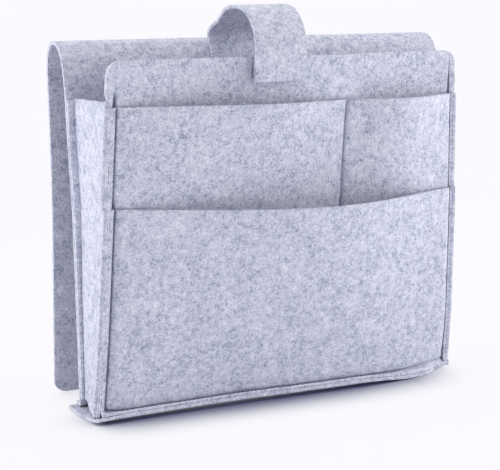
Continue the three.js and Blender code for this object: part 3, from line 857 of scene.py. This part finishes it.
def lower_pocket():
    columns = front_columns()
    lift = np.zeros(columns.shape[1])
    first = front_grid(columns, lift + FOOT_TOP, LOWER_LAYER, lower_bulge)
    tip = foot_tip(first[:, 0])
    lift = corner_lift(first[:, 0])
    low = FOOT_TOP + FOOT_BEND + lift
    heights = height_rows(low + WALL_ROWS_START, lower_mouth(columns[0]), FRONT_STEP)
    heights = np.concatenate([low + np.array(FOOT_ROWS)[:, None], heights])

    def dent(x, z):
        return -belly(x) * (1 - eased(z, FOOT_TOP, BELLY_HEIGHT))

    def pulled(x, z):
        above = (z - FOOT_TOP - lift) / FOOT_PINCH_HEIGHT
        return dent(x, z) + FOOT_PINCH * np.exp(-above ** 2)

    def face(depth, under):
        shape = dent if under else pulled
        wall = front_grid(columns, heights, depth, lower_bulge, shape)
        front = front_grid(columns, heights[0], LOWER_LAYER, lower_bulge, shape)
        x = wall[0, :, 0]
        centre_y = front[:, 1] - FOOT_BEND
        tip_y = np.minimum(tip, centre_y - FOOT_FLAT)
        strip = []

        def height(y, t):
            level = STAND - FOOT_PRESS + curl(x, y, BASE_CURL_SHARE) if under else foot_face(x, y)
            return level + lift * t

        for t in FOOT_PLACES:
            y = lerp(tip_y, centre_y, t)
            strip.append(np.stack([x, y, height(y, t)], -1))
        level = height(centre_y, 1.0)
        for angle in np.radians(np.linspace(0, 90, BEND_COUNT)[:-1]):
            y = centre_y + (wall[0, :, 1] - centre_y) * math.sin(angle)
            z = lerp(level, heights[0], 1 - math.cos(angle))
            strip.append(np.stack([x, y, z], -1))
        return felted(np.concatenate([strip, wall]), seed=INNER_SEED if under else 0)

    made = closed_sheet("lower_pocket_felt", face(LOWER_LAYER, False),
                        face(LOWER_LAYER + thickness(columns), True), FELT_FACE)
    return felt_piece(made, ["lower_pocket"])


def base():
    left = -BACK_X - BASE_OVERHANG
    rear = BACK_Y + REAR_FOOT + BASE_LIP
    x = lerp(left, -left, spaced(-2 * left, 2.0))
    line = front_edge(x)
    rows = graded_shares(BASE_DEPTH, 0.5, 2.0)

    def face(z, share, seed):
        y = lerp(line[None, :], rear, rows[:, None])
        trim = BASE_TRIM * fading(y - line, BASE_TRIM_REACH) * np.exp(-(x - left) / BASE_TRIM_REACH)
        return felted(np.stack([x + trim, y, z + curl(x, y, share)], -1), 0.5, seed)

    upper, lower = face(BASE_FELT, BASE_CURL_SHARE, 0), face(BASE_CLEAR, 1.0, INNER_SEED)
    made = closed_sheet("bottom_felt", upper, lower, FELT_FACE)
    return felt_piece(made, ["bottom_panel"])


# Gussets and back sheet

# Columns along a gusset's flanges, as shares, and its rough depth, for its columns only
FLANGE_PLACES = (0, 0.1, 0.35, 0.65, 0.9)
REAR_FLANGE_PLACES = (0.15, 0.5, 0.85, 1)
REAR_BEND_COUNT = 7
GUSSET_DEPTH = 40.0


def gusset_line(side, z_front, z_rear):
    """Middle of the gusset's felt in plan, from its front flange's tip to its rear flange's tip"""
    angle, width = TURN[side], FLANGE[side]
    depth = GUSSET_LAYER + FELT / 2
    half = half_width(side, z_front)
    seat = seat_y(side, z_front)
    pressed = press_share(side, z_front) * depth
    tip = (half + width * math.cos(angle) + pressed * math.sin(angle),
           seat + pressed * math.cos(angle) - width * math.sin(angle))
    wall_x = GUSSET_X - FELT / 2
    inside = half + depth * math.tan(angle / 2) - wall_x
    crease = np.array([wall_x, seat + depth + inside * math.tan(angle)])
    rear_y = back_y(z_rear) - CLEARANCE - FELT / 2
    rear = np.array([wall_x, rear_y])
    end = np.array([rear_edge(z_rear), rear_y])
    front_bend = fillet(np.array(tip), crease, rear, WALL_BEND, BEND_COUNT)
    rear_bend = fillet(crease, rear, end, REAR_BEND, REAR_BEND_COUNT)
    flange = [lerp(np.array(tip), front_bend[0], t) for t in FLANGE_PLACES]
    places = graded_shares(GUSSET_DEPTH, 0.7, 1.8)[1:-1]
    wall = [lerp(front_bend[-1], rear_bend[0], t) for t in places]
    out = [lerp(rear_bend[-1], end, t) for t in REAR_FLANGE_PLACES]
    return np.array(flange + list(front_bend) + wall + list(rear_bend) + out)


def gusset(side, word):
    sign = 1 if side else -1
    low = gusset_line(side, STAND, STAND)
    order = np.arange(len(low))
    bend_end = len(FLANGE_PLACES) + BEND_COUNT - 1
    in_flange = 1 - smooth(order / len(FLANGE_PLACES))
    rise = eased(low[:, 1] - low[bend_end, 1], OUTLET_INSET, OUTLET_RISE)
    foot = STAND + OUTLET_HEIGHT * rise * (order > bend_end)
    foot = foot + FLANGE_LIFT * smooth(1 - order / bend_end)
    top = lerp(GUSSET_TOP_FRONT, GUSSET_TOP_REAR, np.linspace(0, 1, len(low)))
    slack = hump(np.linspace(0, 1, len(low))) ** 2

    def face(way, seed):
        rows = []
        for v in spaced(GUSSET_TOP_FRONT - STAND, 2.2):
            z = lerp(foot, top, v)
            z_front = lerp(STAND, GUSSET_TOP_FRONT, v)
            line = gusset_line(side, z_front, lerp(STAND, GUSSET_TOP_REAR, v))
            wave_at = np.stack([0 * z, line[:, 1], z], -1)
            slump = uneven(wave_at, GUSSET_WAVES) * eased(z, *GUSSET_WAVE_EASE)
            felt = FELT * lerp(1, press_share(side, z_front), in_flange)
            line = offset_path(line, way * (felt + FLANGE_FILL * in_flange) / 2)
            rows.append(np.stack([sign * (line[:, 0] + slump * slack), line[:, 1], z], -1))
        return felted(np.array(rows), seed=seed)

    made = closed_sheet(f"{word}_gusset_felt", face(-1, 0), face(1, INNER_SEED), FELT_FACE)
    return felt_piece(made, [f"{word}_gusset"])


QUARTER = np.radians(np.linspace(0, 90, 24))


def fold_arc(side, depth, rise, angle):
    """Y and Z on one side of the fold, at angles from 0 at its foot to a quarter turn at the crown"""
    reach = CROWN_FLAT + (depth - CROWN_FLAT) * np.cos(angle)
    return np.stack([APEX_Y + side * reach, APEX_Z - rise * (1 - np.sin(angle))], -1)


def back_path():
    """Outer face of the back sheet in the Y and Z plane: foot, wall, fold and flap"""
    bend = FOOT_BEND + FELT
    foot = [[BACK_Y + REAR_FOOT, STAND], [BACK_Y + bend + 0.5, STAND]]
    corner = arc((BACK_Y + bend, STAND + bend), -bend, -bend, 90, 0, 8)
    wall_z = np.linspace(STAND + bend + 1, FOLD_START - 1, 90)
    wall = np.stack([back_y(wall_z), wall_z], -1)
    front = fold_arc(-1, FOLD_FRONT_DEPTH, FOLD_RISE, QUARTER)
    rear = fold_arc(1, FOLD_REAR_DEPTH, FOLD_DROP, QUARTER)[::-1]
    flap_z = np.linspace(APEX_Z - FOLD_DROP - 1, FLAP_FOOT, 90)
    flap = np.stack([np.full_like(flap_z, FLAP_Y), flap_z], -1)
    return np.concatenate([foot, corner, wall, front, rear, flap])


def back_sheet():
    path = even_path(back_path(), 2.0)
    across = 2 * spaced(2 * BACK_X, 2.4) - 1
    is_flap = path[:, 0] > APEX_Y
    in_corner = np.clip(FLAP_FOOT + FLAP_CORNER - path[:, 1], 0, FLAP_CORNER) * is_flap
    half = np.where(is_flap, BACK_X, rear_edge(path[:, 1]))
    half = half - FLAP_CORNER + np.sqrt(FLAP_CORNER ** 2 - in_corner ** 2)

    def face(line, seed):
        x = half[:, None] * across[None, :]
        y = np.repeat(line[:, :1], len(across), 1)
        z = np.repeat(line[:, 1:], len(across), 1)
        wave_at = np.stack([x, np.where(is_flap, FLAP_OFFSET, 0.0)[:, None] + 0 * x, z], -1)
        hanging = smooth((FOLD_START - z) / FLAP_WAVE_REACH) * is_flap[:, None]
        below_fold = smooth((FOLD_START - z) / BACK_WAVE_EASE[1])
        upright = eased(z, *BACK_WAVE_EASE) * below_fold * ~is_flap[:, None]
        wave = uneven(wave_at, FLAP_WAVES) * hanging + uneven(wave_at, BACK_WAVES) * upright
        low_node, high_node = FLAP_NODES
        forward = FLAP_FORWARD * hump((high_node - z) / (high_node - low_node))
        back = FLAP_BACK * fading(z, low_node)
        return felted(np.stack([x, y + wave + (back - forward) * is_flap[:, None], z], -1), seed=seed)

    inner = offset_path(path, -FELT)
    made = closed_sheet("back_sheet_felt", face(path, 0), face(inner, INNER_SEED), FELT_FACE)
    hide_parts("back_panel", "top_fold", "mounting_flap")
    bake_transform(made)
    return made


def felt_piece(made, nodes):
    """Hides the CAD parts that a felt sheet of the bag replaces, and fixes the sheet to the root body"""
    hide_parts(*nodes)
    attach(made, "root")
    return made


# Closure strap

STRAP_POINTS = 130
STRAP_ROUNDS = 8
STRAP_TOP = middle_top(share_of((STRAP_LEFT_X + STRAP_RIGHT_X) / 2))


def closure_y(x, z):
    """Front face of the middle panel, which the strap closes onto"""
    share = share_of(x)
    return seat_y(share, z) + MIDDLE_LAYER - middle_bulge(share, z)


def strap_outline(x):
    """Outer face of the strap in the Y and Z plane, from its sewn end to its closed end"""
    stack = 3 * CLEARANCE + 2 * PATCH + FELT
    bend, end = STRAP_TOP + STRAP_BEND_ABOVE, STRAP_TOP - STRAP_OVERLAP
    angle = math.pi / 2 * np.linspace(*STRAP_ROOT_ARC, 7)
    seat = offset_path(fold_arc(-1, FOLD_FRONT_DEPTH, FOLD_RISE, angle), CLEARANCE)
    reach = STRAP_PIVOT_Y - closure_y(x, bend) + stack
    start = STRAP_PIVOT_Z + CLEARANCE
    arch = [(STRAP_PIVOT_Y - along * reach, start + up * STRAP_RISE) for along, up in STRAP_ARCH]
    upright = [(STRAP_PIVOT_Y, STRAP_PIVOT_Z - STRAP_ROOT_UPRIGHT)]
    closed = [(closure_y(x, z) - stack, z) for z in (bend, STRAP_TOP, lerp(STRAP_TOP, end, 0.5), end)]
    return spline(np.concatenate([seat, upright, arch, closed]), 10)


def strap():
    across = lerp(STRAP_LEFT_X, STRAP_RIGHT_X, spaced(STRAP_RIGHT_X - STRAP_LEFT_X, 2.0))
    outer, inner = [], []
    for x in across:
        path = relaxed(resampled(strap_outline(x), STRAP_POINTS), STRAP_ROUNDS)
        outer.append(np.insert(path, 0, x, axis=1))
        inner.append(np.insert(offset_path(path, FELT), 0, x, axis=1))
    faces = [felted(np.array(grid), 0.8, seed) for grid, seed in ((outer, 0), (inner, INNER_SEED))]
    made = closed_sheet("strap_felt", *faces, FELT_FACE)
    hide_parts("strap_root", "closure_strap")
    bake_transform(made)
    return made


TAPE_STEPS = (1.2, 0.3)


def tape(word, gap, body, material):
    """Patch of hook or loop tape at a gap in front of the middle panel's face"""
    low = STRAP_TOP - STRAP_OVERLAP + PATCH_INSET
    width = STRAP_RIGHT_X - STRAP_LEFT_X - 2 * PATCH_INSET
    x = STRAP_LEFT_X + PATCH_INSET + width * spaced(width, *TAPE_STEPS)
    z = low + PATCH_HEIGHT * spaced(PATCH_HEIGHT, *TAPE_STEPS)
    x, z = np.meshgrid(x, z)

    def face(distance):
        return felted(np.stack([x, closure_y(x, z) - distance, z], -1), 0.4)

    made = closed_sheet(f"{word}_tape", face(gap + PATCH), face(gap), material, TAPE_ROUND_EDGE)
    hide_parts(f"{word}_patch")
    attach(made, body)
    return made


# Sewing

STITCH = 3.0
STITCH_GAP = 0.7
STITCH_RISE = 0.55
STITCH_SINK = 0.25
STITCH_TAPER = 0.45
THREAD_RADIUS = 0.3

# Where the seams run: distances from the floor, the mouths and the cut edges, and shares of a way
FRONT_SEAM_FOOT = 12.0
REAR_SEAM_FOOT = 14.0
MOUTH_GAP = 1.5
SEAM_TOP_GAP = 1.0
REAR_SEAM_INSET = 2.0
SEAM_INSET = 3.0
BOTTOM_SEAM_X = (-143.5, 126.0)
BOTTOM_SEAM_SHARE = 0.45
DIVIDER_SEAM_Z = (48.0, 222.5)
DIVIDER_SEAM_SINK = 0.1
STRAP_SEAMS = (("lower", 0.08), ("upper", 0.24))
STRAP_SEAM_SLOPE = 0.7
STRAP_SEAM_CLEAR = 0.05


def stitches(word, path, raised):
    """Row of single stitches along a path on a surface; raised points away from the felt"""
    path = even_path(path, 0.5, 0.1)
    raised = np.asarray(raised, float) / np.linalg.norm(raised)
    rings, sides = 7, 6
    turn = np.linspace(0, 2 * math.pi, sides, endpoint=False)[:, None]
    points, faces = [], []
    for start in np.arange(0, distances(path)[-1] - STITCH, STITCH + STITCH_GAP):
        first = len(points) * sides
        run = points_at(path, start + STITCH) - points_at(path, start)
        across = np.cross(run / np.linalg.norm(run), raised)
        for t in np.linspace(0, 1, rings):
            arch = math.sin(math.pi * t)
            centre = points_at(path, start + STITCH * t) + raised * (STITCH_RISE * arch - STITCH_SINK)
            thick = THREAD_RADIUS * (1 - STITCH_TAPER * (1 - arch))
            points.append(centre + thick * (np.cos(turn) * across + np.sin(turn) * raised))
        for a in range(first, first + (rings - 1) * sides):
            b = a + 1 if (a - first) % sides < sides - 1 else a + 1 - sides
            faces.append((a, b, b + sides, a + sides))
        last = first + (rings - 1) * sides
        for a, b, c, d in ((0, 1, 2, 3), (0, 3, 4, 5)):
            faces.append((first + d, first + c, first + b, first + a))
            faces.append((last + a, last + b, last + c, last + d))
    made = mesh_object(f"{word}_stitches", np.concatenate(points), faces, THREAD)
    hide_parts(f"{word}_seam")
    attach(made, "root")
    return made


def flange_line(side, heights, depth, bulge):
    """Line down the middle of a front flange"""
    width = FLANGE[side]
    tuck = math.tan(TURN[side] / 2) * crease_radius(side, heights)
    along = (width / 2 - tuck) / (width - tuck)
    columns = (np.full_like(heights, side), np.ones_like(heights), np.maximum(along, 0.05))
    return front_grid(columns, heights, depth, bulge)


def seams():
    for side, word in ((0, "left"), (1, "right")):
        sign = 1 if side else -1
        mouth = lower_mouth(side)
        top = float(upper_mouth(np.array(side)))
        low_z = np.linspace(FRONT_SEAM_FOOT, mouth - MOUTH_GAP, 60)
        high_z = np.linspace(mouth + MOUTH_GAP, top - SEAM_TOP_GAP, 30)
        low = flange_line(side, low_z, LOWER_LAYER, lower_bulge)
        high = flange_line(side, high_z, UPPER_LAYER, upper_bulge)
        outward = (-sign * math.sin(TURN[side]), -math.cos(TURN[side]), 0)
        stitches(f"front_{word}", np.concatenate([low, high]), outward)
        z = np.linspace(REAR_SEAM_FOOT, GUSSET_TOP_REAR - SEAM_TOP_GAP, 80)
        rear = np.stack([sign * (rear_edge(z) - REAR_SEAM_INSET), back_y(z) - LAYER, z], -1)
        stitches(f"rear_{word}", rear, (0, -1, 0))
    x = np.linspace(*BOTTOM_SEAM_X, 90)
    y = lerp(foot_tip(x), foot_seat(x) - belly(x), BOTTOM_SEAM_SHARE)
    z = foot_face(x, y) + corner_lift(x) * BOTTOM_SEAM_SHARE
    stitches("bottom_front", np.stack([x, y, z], -1), (0, 0, 1))
    rear_y = BACK_Y + REAR_FOOT - SEAM_INSET
    rear = [(end, rear_y, FOOT_TOP) for end in (-GUSSET_X, GUSSET_X)]
    stitches("bottom_rear", rear, (0, 0, 1))
    z = np.linspace(*DIVIDER_SEAM_Z, 80)
    y = seat_y(DIVIDER_SHARE, z) - middle_bulge(DIVIDER_SHARE, z) + GROOVE - DIVIDER_SEAM_SINK
    divider = np.stack([np.full_like(z, DIVIDER_X), y, z], -1)
    stitches("divider", divider, (0, -1, 0))
    for word, share in STRAP_SEAMS:
        angle = math.pi / 2 * share
        normal = np.array([-math.cos(angle), math.sin(angle) * STRAP_SEAM_SLOPE])
        normal *= (LAYER + STRAP_SEAM_CLEAR) / np.linalg.norm(normal)
        at = fold_arc(-1, FOLD_FRONT_DEPTH, FOLD_RISE, angle) + normal
        row = [(x, *at) for x in (STRAP_LEFT_X + SEAM_INSET, STRAP_RIGHT_X - SEAM_INSET)]
        stitches(f"strap_{word}", row, (0, *normal))


# Camera, floor and light

BACKDROP = (0.965, 0.960, 1.0, 1.0)
AMBIENT = (0.55, 0.55, 0.57, 1.0)
FLOOR_TONES = ((0.90, 0.905, 0.95, 1), (0.92, 0.925, 0.96, 1))
FLOOR_HALF = 6.0
FLOOR_GLOW = 0.93
GLOW_REACH = (0.45, 1.1)
# Painted contact shadow on the floor: how far the AO node looks, and the dark blue it darkens towards
CONTACT_REACH = 0.05
CONTACT_SHADE = (0.15, 0.155, 0.26, 1.0)

# Where the painted contact shadow lies: two places on an axis, and the share of the shade at each
SHADE_AHEAD = (-0.02, 0.02, 1.0, 0.25)
SHADE_LEFT = (-0.17, -0.145, 0.6, 1.0)
SHADE_RIGHT = (0.11, 0.16, 1.0, 0.3)

# Lamps: name, place, size and power
LAMP_AIM = (0, 0, 0.1)
LAMPS = (
    ("left_softbox", (-1.5, 0.2, 0.5), 1.2, 14.0),
    ("right_softbox", (1.4, -0.2, 0.5), 1.0, 12.5),
    ("front_softbox", (0.9, -1.2, 0.5), 1.0, 3.6),
    ("top_softbox", (0.0, 0.45, 1.7), 1.0, 9.0),
)


def camera():
    data = bpy.data.cameras.new("camera")
    data.lens = CAMERA_LENS
    data.clip_end = 20
    made = linked("camera", data)
    made.location = CAMERA_PLACE
    made.rotation_euler = (math.radians(90 - CAMERA_PITCH), 0, math.radians(-CAMERA_YAW))
    bpy.context.scene.camera = made


def floor():
    """White floor that glows for the camera, but for a shadow painted close under the caddy's front"""
    g = Graph("floor_white")
    g.tree.nodes.remove(g.shader)
    seen = g.add("ShaderNodeLightPath").outputs["Is Camera Ray"]
    radius = g.add("ShaderNodeVectorMath", {0: g.place}, operation="LENGTH").outputs["Value"]
    axes = g.add("ShaderNodeSeparateXYZ", {0: g.place}).outputs
    # Painted shadow: for camera rays the floor's colour darkens towards CONTACT_SHADE where the AO node
    # finds it closed in by the caddy
    shade = g.ramp(g.open_share(CONTACT_REACH, 12), 0.5, 0.975, 1.0, 0.0)
    for axis, place in (("Y", SHADE_AHEAD), ("X", SHADE_LEFT), ("X", SHADE_RIGHT)):
        shade = g.math("MULTIPLY", shade, g.ramp(axes[axis], *place))
    shade = g.math("MULTIPLY", shade, seen)
    tone = g.mix(shade, g.mix(g.noise(3.0), *FLOOR_TONES), CONTACT_SHADE)
    diffuse = g.add("ShaderNodeBsdfDiffuse", {"Color": tone}).outputs[0]
    glow = g.add("ShaderNodeEmission", {"Color": BACKDROP, "Strength": 1.0}).outputs[0]
    lit = g.math("MULTIPLY", g.math("SUBTRACT", 1.0, shade), seen)
    lit = g.math("MULTIPLY", lit, g.math("MAXIMUM", g.ramp(radius, *GLOW_REACH), FLOOR_GLOW))
    both = g.add("ShaderNodeMixShader", {0: lit, 1: diffuse, 2: glow}).outputs[0]
    g.put(g.tree.nodes["Material Output"].inputs["Surface"], both)
    corners = [(x * FLOOR_HALF, y * FLOOR_HALF, 0) for x, y in ((-1, -1), (1, -1), (1, 1), (-1, 1))]
    mesh = bpy.data.meshes.new("floor")
    mesh.from_pydata(corners, [], [(0, 1, 2, 3)])
    mesh.materials.append(g.material)
    linked("floor", mesh)


def lamp(name, place, size, power):
    data = bpy.data.lights.new(name, "AREA")
    data.shape = "SQUARE"
    data.size = size
    data.energy = power
    made = linked(name, data)
    made.location = place
    made.rotation_euler = (Vector(LAMP_AIM) - Vector(place)).to_track_quat("-Z", "Y").to_euler()


def light():
    for settings in LAMPS:
        lamp(*settings)
    world = bpy.data.worlds.new("studio")
    world.use_nodes = True
    tree = world.node_tree
    seen = tree.nodes.new("ShaderNodeLightPath").outputs["Is Camera Ray"]
    mix = tree.nodes.new("ShaderNodeMix")
    mix.data_type = "RGBA"
    mix.inputs[6].default_value = AMBIENT
    mix.inputs[7].default_value = BACKDROP
    tree.links.new(seen, mix.inputs[0])
    tree.links.new(mix.outputs[2], tree.nodes["Background"].inputs["Color"])
    bpy.context.scene.world = world
    bpy.context.scene.view_settings.view_transform = "Standard"


camera()
floor()
light()
back_sheet()
base()
gusset(0, "left")
gusset(1, "right")
middle_panel()
upper_pocket()
lower_pocket()
strap()
tape("loop", CLEARANCE, "root", LOOP_TAPE)
tape("hook", CLEARANCE + PATCH + CLEARANCE, "strap", HOOK_TAPE)
seams()
